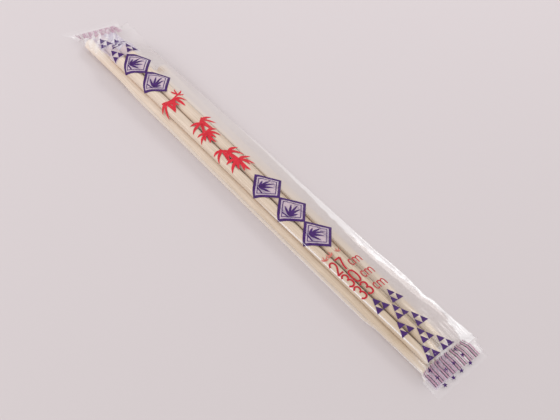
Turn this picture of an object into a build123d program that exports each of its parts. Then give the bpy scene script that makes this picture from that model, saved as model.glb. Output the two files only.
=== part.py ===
from build123d import *
import math
import os

# Three pairs of round bamboo cooking chopsticks sealed in a clear film sleeve, lying flat.
# +X runs along the pack from the thick heads to the tips, +Y across it and +Z up. All in millimetres.

# Chopsticks: the pairs differ in length by one step
long_length = 330.0
length_step = 30.0
head_diameter = 8.0
tip_diameter = 5.4
taper_ease = 0.05
head_chamfer = 1.0
tip_chamfer = 0.7

# How the six sticks lie: four in a row, and two more in the valleys between the first three.
# Their tips are nearly level, and the shorter ones stop a little before the long pair's.
middle_tip_setback = 2.0
short_tip_setback = 6.0
stick_gap = 0.05
row_slant = 2.5
tip_spread = 1.5

# Film: one tube of thin clear film, sealed flat at both ends, with a seam along its back
film_thickness = 0.05
film_gap = 0.08
film_width = 42.0
end_clearance = 0.6
body_spans = 3
seam_width = 9.0
seam_offset = 2.0
seam_thickness = 2 * film_thickness

# The fold that the slack of the tube makes beside the row, and the dip of the film before it
crease_radius = 0.8
crease_height = 5.0
dip_radius = 3.0
dip_depth = 0.3
dip_share = 0.45
tuck_radius = 1.6
tuck_depth = 1.3
tuck_share = 0.22
low_crease_radius = 0.7
low_crease_height = 3.0
low_curve_radius = 3.0
low_left_reach = 1.6
low_left_share = 0.5
drape_length = 12.0

# The mouths, where the tube closes into its end seals
mouth_radius = 0.15
mouth_curve_radius = 10.0
mouth_bow = 0.2
mouth_low_share = 0.2
mouth_top_shares = (-0.22, 0.14)
mouth_closing = 0.4
near_mouth_run = 3.0
near_mouth_height = 2.4
near_mouth_middle = 16.5
near_droop = 8.0
far_mouth_run = 4.5
far_mouth_height = 4.4
far_mouth_middle = 8.3
far_skew = 24.0
far_roll = 5.0
far_droop = 4.0

# End seals: crimped in ribs along the pack, with a plain margin beyond them
crimp_length = 8.0
crimp_ribs = 30
crimp_depth = 0.4
margin_length = 4.0


class Stick:
    """One tapered stick: its name, its length and where its head lies along the pack."""

    def __init__(self, name, length, head_x):
        self.name = name
        self.length = length
        self.head_x = head_x

    def radius(self, x):
        """Radius of the taper at x, carried on in a straight line past both ends."""
        share = (x - self.head_x) / self.length
        return (head_diameter + (tip_diameter - head_diameter) * share) / 2


middle_length = long_length - length_step
short_length = middle_length - length_step
middle_tip = long_length - middle_tip_setback
middle_head = middle_tip - middle_length
short_head = long_length - short_tip_setback - short_length
long_left = Stick("chopstick_33cm_left", long_length, 0)
long_right = Stick("chopstick_33cm_right", long_length, 0)
short_left = Stick("chopstick_27cm_left", short_length, short_head)
short_right = Stick("chopstick_27cm_right", short_length, short_head)
middle_left = Stick("chopstick_30cm_left", middle_length, middle_head)
middle_right = Stick("chopstick_30cm_right", middle_length, middle_head)
sticks = [long_left, long_right, short_left, short_right, middle_left, middle_right]
film_floor = seam_thickness + film_thickness


def beside(centre, radius, next_radius, spread):
    """Centre of the next stick in the row, lying on the same film and clear of the last one."""
    y, z = centre
    next_z = film_floor + film_gap + next_radius
    reach = radius + next_radius + stick_gap
    return (y + math.sqrt(reach ** 2 - (next_z - z) ** 2) + spread, next_z)


def on_top(left, left_radius, right, right_radius, radius):
    """Centre of a stick that rests in the valley between two others."""
    to_left = left_radius + radius + stick_gap
    to_right = right_radius + radius + stick_gap
    span = math.dist(left, right)
    along = (span ** 2 + to_left ** 2 - to_right ** 2) / (2 * span)
    up = math.sqrt(to_left ** 2 - along ** 2)
    across_y = (right[0] - left[0]) / span
    across_z = (right[1] - left[1]) / span
    return (left[0] + along * across_y - up * across_z, left[1] + along * across_z + up * across_y)


def pile(x):
    """Centres (y, z) of the six sticks where a plane across the pack at x cuts the pile."""
    share = x / long_length
    radii = {stick: stick.radius(x) for stick in sticks}
    centres = {long_left: (row_slant * share, film_floor + film_gap + radii[long_left])}
    row = [long_left, long_right, short_left, short_right]
    spreads = [0, tip_spread * share, 0]
    for stick, after, spread in zip(row, row[1:], spreads):
        centres[after] = beside(centres[stick], radii[stick], radii[after], spread)
    centres[middle_left] = on_top(centres[long_left], radii[long_left],
                                  centres[long_right], radii[long_right], radii[middle_left])
    centres[middle_right] = on_top(centres[long_right], radii[long_right],
                                   centres[short_left], radii[short_left], radii[middle_right])
    room = radii[middle_left] + radii[middle_right] + stick_gap
    if math.dist(centres[middle_left], centres[middle_right]) < room:
        centres[middle_right] = on_top(centres[middle_left], radii[middle_left],
                                       centres[short_left], radii[short_left], radii[middle_right])
    return centres


heads_pile = pile(0)
tips_pile = pile(long_length)


def centre(stick, x):
    """Centre (y, z) of a stick at x, on the straight line between the two end piles."""
    share = x / long_length
    return tuple(a + (b - a) * share for a, b in zip(heads_pile[stick], tips_pile[stick]))


def stick_solid(stick):
    """A round stick turned about its own axis: a slightly eased taper with both rims chamfered."""
    head = (stick.head_x, *centre(stick, stick.head_x))
    tip_x = stick.head_x + stick.length
    direction = Vector(tip_x, *centre(stick, tip_x)) - Vector(*head)
    head_radius = head_diameter / 2
    tip_radius = tip_diameter / 2
    head_cut = min(head_chamfer, head_radius / 2)
    tip_cut = min(tip_chamfer, tip_radius / 2)
    waist = ((head_radius + tip_radius) / 2 - taper_ease, stick.length / 2)
    shoulder = (head_radius, head_cut)
    neck = (tip_radius, stick.length - tip_cut)
    side = Spline(shoulder, waist, neck)
    rest = Polyline(neck, (tip_radius - tip_cut, stick.length), (0, stick.length), (0, 0),
                    (head_radius - head_cut, 0), shoulder)
    turned = revolve(make_face(side + rest), Axis.Y)
    lying = Plane(origin=head, x_dir=(0, 1, 0), z_dir=direction)
    return lying * Rot(90, 0, 0) * turned


# The film's section is a belt round pulleys, each (y, z, radius), listed anticlockwise from the left.
# A negative radius is a dip, where the film passes inside the pulley.

def belt_normals(pulleys):
    """Outward normals of the straight runs, each from one pulley to the next."""
    found = []
    for (y1, z1, r1), (y2, z2, r2) in zip(pulleys, pulleys[1:] + pulleys[:1]):
        span = math.hypot(y2 - y1, z2 - z1)
        along_y = (y2 - y1) / span
        along_z = (z2 - z1) / span
        lean = (r1 - r2) / span
        square = math.sqrt(1 - lean ** 2)
        found.append((lean * along_y + square * along_z, lean * along_z - square * along_y))
    return found


def belt_turn(before, after, radius):
    """Angle that the belt turns round a pulley: anticlockwise, or clockwise in a dip."""
    angle = math.atan2(before[0] * after[1] - before[1] * after[0],
                       before[0] * after[0] + before[1] * after[1])
    return math.copysign(math.copysign(angle, angle * radius) % (2 * math.pi), radius)


def belt_length(pulleys):
    """Length round the belt."""
    normals = belt_normals(pulleys)
    total = 0
    for i, (y, z, r) in enumerate(pulleys):
        after = normals[i]
        y2, z2, r2 = pulleys[(i + 1) % len(pulleys)]
        straight = math.hypot(y2 + r2 * after[0] - y - r * after[0], z2 + r2 * after[1] - z - r * after[1])
        total += r * belt_turn(normals[i - 1], after, r) + straight
    return total


def belt_wire(plane, pulleys, grow):
    """The belt as a closed wire in a plane, moved outwards by grow."""
    normals = belt_normals(pulleys)

    def point(i, normal):
        y, z, r = pulleys[i]
        return plane.from_local_coords((y + (r + grow) * normal[0], z + (r + grow) * normal[1], 0))

    edges = []
    for i in range(len(pulleys)):
        before = normals[i - 1]
        after = normals[i]
        half = belt_turn(before, after, pulleys[i][2]) / 2
        middle = (before[0] * math.cos(half) - before[1] * math.sin(half),
                  before[0] * math.sin(half) + before[1] * math.cos(half))
        edges.append(Edge.make_three_point_arc(point(i, before), point(i, middle), point(i, after)))
        edges.append(Edge.make_line(point(i, after), point((i + 1) % len(pulleys), after)))
    return Wire(edges)


def with_crease(left, low, crease, dip, top_right, top_left):
    """Pulleys of a section whose fold lies as far out as the tube's own width lets it."""
    crease_z, crease_r = crease
    share, depth, dip_r = dip

    def pulleys(crease_y):
        dip_y = crease_y + (top_right[0] - crease_y) * share
        line_z = crease_z + crease_r + (top_right[1] + top_right[2] - crease_z - crease_r) * share
        dipped = (dip_y, line_z - depth + dip_r, -dip_r)
        return [left, low, (crease_y, crease_z, crease_r), dipped, top_right, top_left]

    near = low[0] + low[2]
    far = near + film_width
    for _ in range(40):
        middle = (near + far) / 2
        if belt_length(pulleys(middle)) < 2 * film_width:
            near = middle
        else:
            far = middle
    return pulleys(near)


def round_stick(stick, x):
    """Pulley that lays the film on a stick at x."""
    return (*centre(stick, x), stick.radius(x) + film_gap)


def full_section(x, dip):
    """The film over the whole pile."""
    return with_crease(round_stick(long_left, x), round_stick(short_right, x),
                       (crease_height, crease_radius), dip,
                       round_stick(middle_right, x), round_stick(middle_left, x))


def low_section(x, dip):
    """The film over the long pair alone, where the others have ended."""
    top_left = round_stick(long_left, x)
    top_right = round_stick(long_right, x)
    edge = top_left[2] * low_left_share
    left = (top_left[0] - top_left[2] - low_left_reach + edge, film_floor + edge, edge)
    low = (centre(short_right, x)[0], film_floor + low_curve_radius, low_curve_radius)
    return with_crease(left, low, (low_crease_height, low_crease_radius), dip, top_right, top_left)


def mouth_section():
    """The nearly closed tube where a seal begins, in the seal's own plane."""
    half = film_width / 2
    curve = mouth_curve_radius
    low_z = -mouth_radius - mouth_bow + curve
    top_z = mouth_radius + mouth_bow - curve
    left = (mouth_radius - half, 0, mouth_radius)
    low = (film_width * mouth_low_share, low_z, curve)
    top_left, top_right = [(film_width * share, top_z, curve) for share in mouth_top_shares]
    dip = (1 / 2, mouth_bow / 2, curve)
    return with_crease(left, low, (0, mouth_radius), dip, top_right, top_left)


def across_pack(x):
    """Plane across the pack at x, with its own axes along +Y and +Z."""
    return Plane(origin=(x, 0, 0), x_dir=(0, 1, 0), z_dir=(1, 0, 0))


def mouth_plane(x, middle, height, skew, roll):
    """Plane of a mouth, turned by skew about Z and by roll about its own outward direction."""
    turn = math.radians(skew)
    lean = math.radians(roll)
    across = (math.sin(turn) * math.cos(lean), math.cos(turn) * math.cos(lean), -math.sin(lean))
    return Plane(origin=(x, middle, height), x_dir=across,
                 z_dir=(math.cos(turn), -math.sin(turn), 0))


def ribbed(plane, rise):
    """Closed outline across a seal: both walls together, zigzagging by rise to each side."""
    upper = []
    lower = []
    for step in range(2 * crimp_ribs + 1):
        across = film_width * (step / (2 * crimp_ribs) - 1 / 2)
        side = rise if step % 2 else -rise
        upper.append(plane.from_local_coords((across, side + film_thickness, 0)))
        lower.append(plane.from_local_coords((across, side - film_thickness, 0)))
    return Wire.make_polygon(upper + lower[::-1], close=True)


def crimped_seal(mouth, outward, droop):
    """An end seal: both walls pressed together in ribs, which fade out in the margin beyond them."""
    lean = math.radians(droop)
    direction = mouth.z_dir * (outward * math.cos(lean)) - Vector(0, 0, math.sin(lean))
    start = mouth.origin + mouth.z_dir * (outward * mouth_closing)
    edge = start + direction * crimp_length
    cut = edge + direction * margin_length
    rise = crimp_depth / 2 - film_thickness
    outlines = []
    for place, height in ((start, rise), (edge, rise), (cut, 0)):
        outlines.append(ribbed(Plane(origin=place, x_dir=mouth.x_dir, z_dir=mouth.z_dir), height))
    return Solid.make_loft(outlines, ruled=True)


def film_sleeve():
    """The sleeve: a thin lofted tube over the pile, its two end seals and its back seam."""
    slack = (dip_share, dip_depth, dip_radius)
    tucked = (tuck_share, tuck_depth, tuck_radius)
    head_plane = -end_clearance
    drape_end = middle_head - end_clearance
    tip_plane = middle_tip + end_clearance
    last_plane = long_length + end_clearance
    far_mouth = mouth_plane(-far_mouth_run, far_mouth_middle, far_mouth_height, far_skew, far_roll)
    near_mouth = mouth_plane(long_length + near_mouth_run, near_mouth_middle, near_mouth_height, 0, 0)
    sections = [
        (far_mouth, mouth_section()),
        (across_pack(head_plane), low_section(head_plane, tucked)),
        (across_pack(drape_end - drape_length), low_section(drape_end - drape_length, tucked)),
    ]
    for step in range(body_spans):
        x = drape_end + (tip_plane - drape_end) * step / body_spans
        sections.append((across_pack(x), full_section(x, slack)))
    sections += [
        (across_pack(tip_plane), full_section(tip_plane, tucked)),
        (across_pack(last_plane), low_section(last_plane, tucked)),
        (near_mouth, mouth_section()),
    ]
    ends = ((far_mouth, -1, far_droop), (near_mouth, 1, near_droop))
    sleeve = Solid.make_loft([belt_wire(plane, belt, film_thickness) for plane, belt in sections], ruled=True)
    for mouth, outward, droop in ends:
        closing = make_face(belt_wire(mouth, mouth_section(), film_thickness))
        sleeve = sleeve + extrude(closing, amount=mouth_closing, dir=mouth.z_dir * outward)
    sleeve = sleeve - Solid.make_loft([belt_wire(plane, belt, 0) for plane, belt in sections], ruled=True)
    for mouth, outward, droop in ends:
        sleeve = sleeve + crimped_seal(mouth, outward, droop)
    seam = Box(last_plane - head_plane, seam_width, seam_thickness, align=(Align.MIN, Align.CENTER, Align.MIN))
    middle_y = (heads_pile[long_left][0] + heads_pile[short_right][0]) / 2
    return sleeve + Pos(head_plane, middle_y + seam_offset, 0) * seam


# The origin is the centre of the underside of the whole pack's box
sleeve = film_sleeve()
box = sleeve.bounding_box()
to_origin = Pos(-box.center().X, -box.center().Y, -box.min.Z)

os.makedirs("parts", exist_ok=True)
export_step(to_origin * sleeve, "parts/film_sleeve.step")
for stick in sticks:
    export_step(to_origin * stick_solid(stick), "parts/" + stick.name + ".step")
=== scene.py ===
import bisect
import bmesh
import bpy
from math import atan2, ceil, copysign, cos, dist, exp, floor, hypot, pi, radians, sin, sqrt
from mathutils import Matrix, Vector, noise


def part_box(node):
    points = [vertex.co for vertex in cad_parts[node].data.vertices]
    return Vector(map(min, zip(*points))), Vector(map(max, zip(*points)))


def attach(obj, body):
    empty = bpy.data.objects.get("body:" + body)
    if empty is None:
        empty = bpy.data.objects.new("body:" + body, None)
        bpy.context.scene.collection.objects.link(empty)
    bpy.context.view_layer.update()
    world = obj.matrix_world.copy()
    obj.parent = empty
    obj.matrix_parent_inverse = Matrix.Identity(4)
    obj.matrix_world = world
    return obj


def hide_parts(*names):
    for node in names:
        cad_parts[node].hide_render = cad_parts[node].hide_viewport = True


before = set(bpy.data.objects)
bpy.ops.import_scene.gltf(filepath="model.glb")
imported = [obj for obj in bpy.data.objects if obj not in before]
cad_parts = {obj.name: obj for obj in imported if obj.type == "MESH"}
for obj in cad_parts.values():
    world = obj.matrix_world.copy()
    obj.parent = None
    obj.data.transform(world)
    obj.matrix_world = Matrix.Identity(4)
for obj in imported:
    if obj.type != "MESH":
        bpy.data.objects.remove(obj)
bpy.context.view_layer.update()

# Three pairs of bamboo chopsticks in a clear printed film sleeve.
# Lengths are in millimetres in the pack's own frame, whose origin is at the head of the long left stick:
# x runs along the pack from the heads to the tips, y across it and z up.
# A place on the film is (u, v): u runs along the pack, and v round the film from its print's middle line.
# The function place() turns a point into metres in the shared frame.
# The camera, the lamps, the floor and the places in materials are in metres there.

MM = 0.001
ORIGIN_X = -160.486
ORIGIN_Y = -13.669

# The camera, worked out from the photograph

CAMERA_AT = (0.2517, -0.18497, 0.4038)
CAMERA_BACK = (0.437, -0.371, 0.819)
CAMERA_RIGHT = (0.647, 0.762, 0)
CAMERA_LENS = 51.43
CAMERA_SENSOR = 36
CAMERA_CLIP = (0.01, 20)

# The sticks as the film meets them

HEAD_RADIUS = 4
TIP_RADIUS = 2.7
END_SLICE = 0.3
LONG = 330
MIDDLE_HEAD = 28
MIDDLE_TIP = 328
FILM_GAP = 0.1

# The sleeve over the heads of the long pair, and the drape from there up over the whole pile.
# A crease is the right fold's height and radius. A dip is its place as a share of the way from there
# to the sticks, its depth and its radius.

FILM_WIDTH = 42
FILM_FLOOR = 0.13
END_CLEARANCE = 0.6
LOW_CREASE = (3, 0.7)
LOW_DIP = (0.22, 1.3, 1.6)
LOW_CURVE = 3
LOW_LEFT_REACH = 1.6
LOW_LEFT_SHARE = 0.5
DRAPE_LENGTH = 12
DRAPE_END = MIDDLE_HEAD - END_CLEARANCE
DRAPE_START = DRAPE_END - DRAPE_LENGTH

# The sleeve over the whole pile, and the girth that its wrinkles take up

CREASE = (3, 0.45)
TAKEN_UP = ((150, 0), (205, 1.3), (240, 1.6), (258, 1.6), (272, 0.6), (284, 1),
            (291, 3.2), (296.5, 5.2), (302, 2.8), (314, 3.3), (330, 3))
LEVEL_SHARES = ((165, 0.17), (212, 0.19), (235, 0.24), (272, 0.26), (284, 0.22),
                (300, 0.17), (314, 0.12))
LEVEL_RISE = (180, 268)
LEVEL_HELD = 1.5
LEVEL_HELD_FADE = (180, 212)
LEVEL_FALL = 5
LEVEL_CURVE = 2
LEAST_DIP = 0.02
SHELF_DROP = 6
SHELF_RISE = (36, 57)

# The fold that the film keeps along its left side

LEFT_FOLD_REACH = ((70, 1.1), (210, 2), (284, 2.2), (296, 0.9))
LEFT_FOLD_HEIGHT = 2.6
LEFT_FOLD_RADIUS = 0.45
LEFT_FOLD_RISE = (DRAPE_END, 70)

# The mouths, where the tube closes into its seals

MOUTH_RADIUS = 0.15
MOUTH_CURVE = 10
MOUTH_BOW = 0.2
MOUTH_LOW_SHARE = 0.2
MOUTH_TOP_SHARES = (-0.22, 0.14)
MOUTH_DIP_SHARE = 0.5
NEAR_MOUTH = (333, 16.5, 2.4)
NEAR_DROOP = 8
FAR_MOUTH = (-4.8, 7.2, 2.9)
FAR_SKEW = 13
FAR_ROLL = 5
FAR_DROOP = 4

# The seals: crimped ribs along the pack, and a plain margin beyond them that curls a little

CRIMP_LENGTH = 8
CRIMP_RIBS = 30
CRIMP_RISE = 0.15
CRIMP_SPAN = (0.2, 1.2, CRIMP_LENGTH, CRIMP_LENGTH + 1.6)
MARGIN_LENGTH = 4
MARGIN_CURL = 0.5
MARGIN_WAVE = (25 / 3, 10, 7.7)
WALL_APART = 0.04
GATHER_FROM = -7
GATHER_DRAW = 0.4
GATHER_RUN = 11
GATHER_DEPTH = 1.6
GATHER_PITCH = 3.6
ROLL_FROM = 15
ROLL_RADIUS = 2.4
ROLL_RUN = 3.5

# The print's middle line: where the film's middle thread crosses the top of the pack

LINE_AT_HEADS = 8.1
LINE_SLOPE = 0.0156
NEAR_SEAL_OFFSET = -1.4

# How the film's mesh is divided. Threads beyond TRUE_HALF share what is left of the girth.

AROUND = 240
STEP = 2 * FILM_WIDTH / AROUND
TRUE_HALF = 30
SEAL_RUNS = (0.4, 0.8, 1.2, 2.5, 4, 5.5, 7, 8, 8.6, 9.4, 10.2, 11, 11.6, 12)
FAR_MOUTH_SPANS = 8
HEAD_SPANS = 10
DRAPE_SPANS = 10
BODY_SPANS = 200
TIP_SPANS = 2
NEAR_MOUTH_SPANS = 6
TURN_STEP = 0.1
HALVINGS = 30
LEAST_LENGTH = 1e-9

# Wrinkles. A wave is its length along the pack and across it, and a layer of noise. A rise is where
# something begins and where it is full, and a span adds where it fades and ends.

WRINKLE_ONSET = 3
WRINKLE_SPAN = (FAR_MOUTH[0], FAR_MOUTH[0] + WRINKLE_ONSET, NEAR_MOUTH[0] - WRINKLE_ONSET, NEAR_MOUTH[0])
FACES_UP = (-0.25, 0.25)
SWAY_WAVE = (16, 9, 1)
SLOW_WAVE = (24, 7, 4)
SLOW_LIFT = 0.35
QUICK_WAVE = (7, 2.6, 9)
QUICK_LIFT = 0.1
TIGHT_WAVE = (9, 2.2, 12)
TIGHT_LIFT = 0.07
SLACK_RISE = (6, 10)

# Pleats at the near mouth, and bunches of film that run askew over the heads

PLEAT_RISE = (312, 332)
PLEAT_PITCH = 3.4
PLEAT_SWAY = 5
PLEAT_LIFT = 0.45
BUNCH_FADE = (4, 34)
BUNCH_PITCH = 4.6
BUNCH_ALONG = 0.66
BUNCH_ACROSS = 0.75
BUNCH_SWAY = 6
BUNCH_LIFT = 0.7

# Ridges: along the left shoulder, across the tips and in the left fold. The right fold has dimples.

SHOULDER_LINE = (-11, 0.004)
SHOULDER_BEND = 0.7
SHOULDER_BEND_AT = (200, 30)
SHOULDER_WIDTH = 0.38
SHOULDER_SPAN = (175, 225, 310, 326)
SHOULDER_LIFT = 0.3
INNER_FROM_FOLD = (1, 6.5)
INNER_CROSSES = (306, 331)
INNER_WIDTH = 0.45
INNER_SPAN = (304, 312, 331, 333)
INNER_LIFT = 0.6
# The hem is a painted highlight along the left fold, with no lift of its own.
HEM_WIDTH = 0.4
HEM_RISE = (190, 230)
DIMPLE_PITCH = 6
DIMPLE_SPAN = (236, 244, 288, 294)
DIMPLE_AT = (1.3, 0.8)
DIMPLE_DEPTH = 0.25

# How strong the painted highlights along the creases are. The pleats also carry painted light over their
# shade.

SHOULDER_HIGHLIGHT = 0.95
INNER_HIGHLIGHT = 0.8
HEM_HIGHLIGHT = 0.85
PLEAT_LIGHT = (0.2, 0.3)
PLEAT_DIMS = (7, 11)
PLEAT_DIMMING = 0.8
BUNCH_HIGHLIGHT = (0.42, 0.4)
BUNCH_HIGHLIGHT_RISE = (-16, -8)
BUNCH_DIMS = (8, 13)
BUNCH_DIMMING = 0.9

# The painted highlight along the right fold, a bright band, by place along the pack. Painted shade dims it
# at the dimples.

FOLD_INSET = 1.6
FOLD_INSET_FADE = (120, 170)
PAST_FOLD = (0.3, 1)
BAND_WIDTH = ((100, 1.5), (150, 2.2), (200, 3.8), (215, 5), (235, 5.5), (260, 5.2),
              (278, 4), (290, 2.6), (303, 2.2), (313, 2.6), (320, 5.4), (331, 8.6))
BAND_HIGHLIGHT = ((110, 0), (160, 0.4), (200, 0.6), (240, 0.66), (270, 0.7), (300, 0.8),
              (333, 0.95))
BAND_WAVE = (5, 1, 3)
BAND_WAVER = 0.25
BAND_SOFTNESS = (0.5, 0.7)
BAND_EVEN = 0.85
BAND_CRUMPLE = 0.3
# Painted shade in the band at the dimples, and where it lies from the fold
BAND_DIMPLE_SHADE = 0.35
BAND_DIMPLE_AT = (1, 0.9)

# The dull veil over the slack side. It thins out over the short stick's head and spreads over the tips.

VEIL_RISE = (4.8, 8)
# The veil is partly the film's haze and partly painted reflection of its bright surroundings.
VEIL_HAZE_AND_SHEEN = ((20, 0.1), (48, 0.6), (58, 0.9), (110, 0.88), (160, 0.78), (240, 0.66),
             (300, 0.48), (333, 0.3))
VEIL_EVEN = 0.9
VEIL_WAVER = 0.2
HEAD_SHOWS = 0.75
HEAD_ALONG = (60, 5)
HEAD_ACROSS = (11.5, 5.5)
TIPS_RISE = (240, 280)
TIPS_VEIL = 0.45
TIPS_VEIL_RISE = (1.5, 4.5)
# Cream painted light over the shaded right flank of the right top stick and the groove past it
VEIL_CREAM_LIGHT = 0.6
CREAM_LIGHT_FADE = (7, 12)
TIPS_CREAM_LIGHT_REACH = 3
# Cream painted light over the shaded left side of the long left stick
SIDE_PAINTED_LIGHT = 0.7
SIDE_AT = (1.2, 1.7)
SIDE_RISE = (20, 60)
LEAST_MILK = 0.01

# How milky the seals look, with a painted glare on the near seal and a painted highlight on its rolled edge

SEAL_MILK = 0.14
MARGIN_MILK = 0.01
MARGIN_CLEARS = (CRIMP_LENGTH - 1, CRIMP_LENGTH + 0.6)
PAINTED_GLARE = 0.5
GLARE_AT = (6.5, 4.5)
GLARE_FADE = (5, 7.5)
ROLL_HIGHLIGHT = 0.6
ROLL_HIGHLIGHT_RISE = (ROLL_FROM, ROLL_FROM + 2.5)
ROLL_HIGHLIGHT_FADE = (6.5, 9)

# The seam along the back of the tube, where its two edges are sealed together in fine ribs

SEAM_MIDDLE = 13.67
SEAM_SLOPE = 0.0033
SEAM_HALF = 4.4
SEAM_HEIGHT = 0.09
SEAM_RIB = 0.03
SEAM_STEP = 1.5
SEAM_ACROSS = 12
SEAM_MILK = 0.25

# How the print lies on the film, and how finely it is cut to follow it

INK_LIFT = 0.06
TINT_LIFT = 0.03
CUT_ALONG = 2
CUT_ACROSS = 0.7
CUT_REACH = 1e-5
SAME_POINT = 1e-4
CURVE_STEPS = 4
SHARPEST_MITRE = 0.4

# The print's purple triangles, in threes

TRIANGLE = 4.7
TRIANGLE_SHARE = 0.92
PAIRS_AT = (27.2, 281.6, 300.4, 319.2)
PAIR_SIDES = (-5.6, 6.3)
SINGLES_AT = (17.8, 291, 309.8)
SINGLE_SIDE = 0.4
BUNCHED_TRIPLES = ((5.9, -2.1), (11, 6.3))

# The print's diamonds: a tinted field, two frames and a leaf motif, which turns from one to the next

DIAMOND_AT = (48.9, 71, 184.8, 207.5, 230.2)
DIAMOND_HALF_LENGTH = 11.8
DIAMOND_HALF_WIDTH = 12.3
DIAMOND_MIDDLE = 0.4
DIAMOND_TINT_SHARE = 0.8
FRAME_SHARE = 0.9
FRAME_WIDTH = 1.7
INNER_FRAME_SHARE = 0.66
INNER_FRAME_WIDTH = 0.5
MOTIF_ROOT = (2.6, -4)
MOTIF_TIPS = ((5, 1), (2.4, 5.4), (-1, 6.4), (-3.6, 3.2), (-4.8, -1))
MOTIF_LEAF = 2.1
MOTIF_STEM = ((3.2, -4.8), (-2.4, -5.4))
MOTIF_STEM_WIDTH = 0.8

# The print's leaves. A fan is its place, its lean in degrees and its size.

LEAF_STEPS = 9
LEAF_FULLNESS = 0.825
LEAF_TAPER = 0.8
FAN_LEAVES = ((-64, 0.72), (-26, 1), (14, 0.92), (54, 0.78))
FAN_LEAF_SHARE = 0.27
FAN_BEND_SHARE = 0.06
STEM_WIDTH = 1.1
SPRIGS = (
    (((89, -8.5), (91, -3), (90, 3), (88, 7.5)),
     ((91, -6, -14, 11.5), (91, 0.4, -4, 11), (89.4, 4.6, 150, 7))),
    (((115, 4.5), (119.5, 0.5), (126, -1.5), (132, -1)),
     ((116.5, 3, 34, 11), (119, 0.8, -42, 10.5), (127, -1.5, 26, 11),
      (128, -1.6, -36, 9.5))),
    (((144, -4), (149.5, -1), (156, 0.5), (163, 0)),
     ((145.5, -3, -30, 10), (148.5, -1.2, 36, 11.5), (156.5, 0.5, -30, 12),
      (157.5, 0.5, 28, 11.5))),
)
SMALL_FANS = ((246.9, -9, 150, 3.6), (246.7, -4, 200, 3.8), (246.7, 1.6, 165, 3.4))

# The print's lengths: where each number stands, and each mark's place across the pack, height, width
# and line width. A glyph's points are shares of its width and height.

LENGTHS = ((258.7, "27"), (268.9, "30"), (278.9, "33"))
MARKS = ((-10, 8.6, 4.1, 1.05), (-5.1, 8.6, 4.3, 1.05), (1.2, 4.4, 2.6, 0.72), (5, 4.4, 5.2, 0.72))
GLYPH_SHARES = {
    "2": (((0.06, 0.78), (0.22, 0.95), (0.5, 1), (0.8, 0.92), (0.9, 0.72), (0.78, 0.5), (0.42, 0.24),
           (0.06, 0)), ((0.04, 0), (0.98, 0))),
    "7": (((0.04, 1), (0.96, 1)), ((0.95, 0.98), (0.72, 0.68), (0.5, 0.35), (0.4, 0))),
    "3": (((0.08, 0.86), (0.28, 0.98), (0.58, 0.99), (0.84, 0.86), (0.82, 0.66), (0.6, 0.54), (0.4, 0.53)),
          ((0.45, 0.53), (0.74, 0.49), (0.92, 0.32), (0.84, 0.1), (0.55, 0), (0.25, 0.03), (0.05, 0.16))),
    "0": (((0.5, 1), (0.2, 0.9), (0.06, 0.5), (0.2, 0.1), (0.5, 0), (0.8, 0.1), (0.94, 0.5), (0.8, 0.9),
           (0.5, 1)),),
    "c": (((0.92, 0.82), (0.6, 1), (0.24, 0.88), (0.06, 0.5), (0.24, 0.12), (0.6, 0), (0.92, 0.18)),),
    "m": (((0, 0), (0, 1)), ((0, 0.7), (0.14, 0.95), (0.36, 0.95), (0.5, 0.68), (0.5, 0)),
          ((0.5, 0.68), (0.64, 0.95), (0.86, 0.95), (1, 0.68), (1, 0))),
}

# The print's stripes at both ends: where they begin and end, and how their inner ends slant

BANDS = 8
BAND_PITCH = 4.2
NEAR_STRIPES = (329.4, 340)
NEAR_SLANT = 0.07
FAR_STRIPES = (-11, 2.7)
FAR_SLANT = 0.19
DARK_SIDE = 0.75
DARK_WIDTH = 0.42
PINK_WIDTH = 0.7
THIN_PINK_SIDE = 1.9
THIN_PINK_WIDTH = 0.5
NEAR_TINT_ACROSS = (-6.6, 20)
FAR_TINT = ((3, -6), (37.5, -11), (37.5, 11.5), (3, 11.5))

# The print's small flowers on the near seal, in rows: each is its place and its shift

STAR_ROWS = ((330.9, 0), (335.5, 0), (341.2, 0.2))
STAR_SIDES = (-10.9, -4.3, 1.9, 8.9)
STAR_SIZE = 1.5
STAR_POINTS = 5
STAR_WAIST = 0.45

# The inks: each has its full colour, and the deeper one that it shows in places

PURPLE = ((0.07, 0.02, 0.16), (0.046, 0.012, 0.105))
RED = ((0.73, 0.03, 0.05), (0.6, 0.022, 0.036))
NUMBER_RED = ((0.56, 0.02, 0.036), (0.44, 0.014, 0.026))
FADED_RED = ((0.64, 0.2, 0.16), (0.6, 0.12, 0.1))
DARK = ((0.1, 0.045, 0.08), (0.07, 0.03, 0.06))
PINK = ((0.57, 0.33, 0.43), (0.49, 0.28, 0.37))
MAUVE = ((0.45, 0.26, 0.34), (0.36, 0.2, 0.27))
PALE_PINK = ((0.64, 0.42, 0.53), (0.56, 0.34, 0.45))
INK_STOPS = (0.35, 0.7)
INK_CLOUD = {"Scale": 420, "Detail": 3}
INK_SURFACE = {"Roughness": 0.45, "Specular IOR Level": 0.2}

# The faint tints: each has its colour and how much it covers

DIAMOND_TINT = ((0.7, 0.58, 0.8), 0.42)
HEADS_TINT = ((0.6, 0.53, 0.76), 0.3)
SEAL_TINT = ((0.66, 0.53, 0.69), 0.4)

# The film's colours: the veil's, the cream painted light's and the pale colour of its milk and painted
# highlights; painted shade towards the tips; and how much it covers

FILM_ROUGHNESS = 0.14
VEIL_COLOUR = (0.665, 0.605, 0.59)
CREAM_LIGHT_COLOUR = (0.84, 0.74, 0.63)
HIGHLIGHT_AND_MILK_COLOUR = (0.9, 0.87, 0.87)
PAINTED_SHADE_FROM_TO = (-0.05, 0.13)
PAINTED_SHADE_AT_TIPS = (0.87, 0.845, 0.81)
UNSHADED = (1, 1, 1)
CLEAR_COVER = 0.05
MILK_AND_LIGHT_COVER = 0.95
MIRROR_COVER = 0.035

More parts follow.
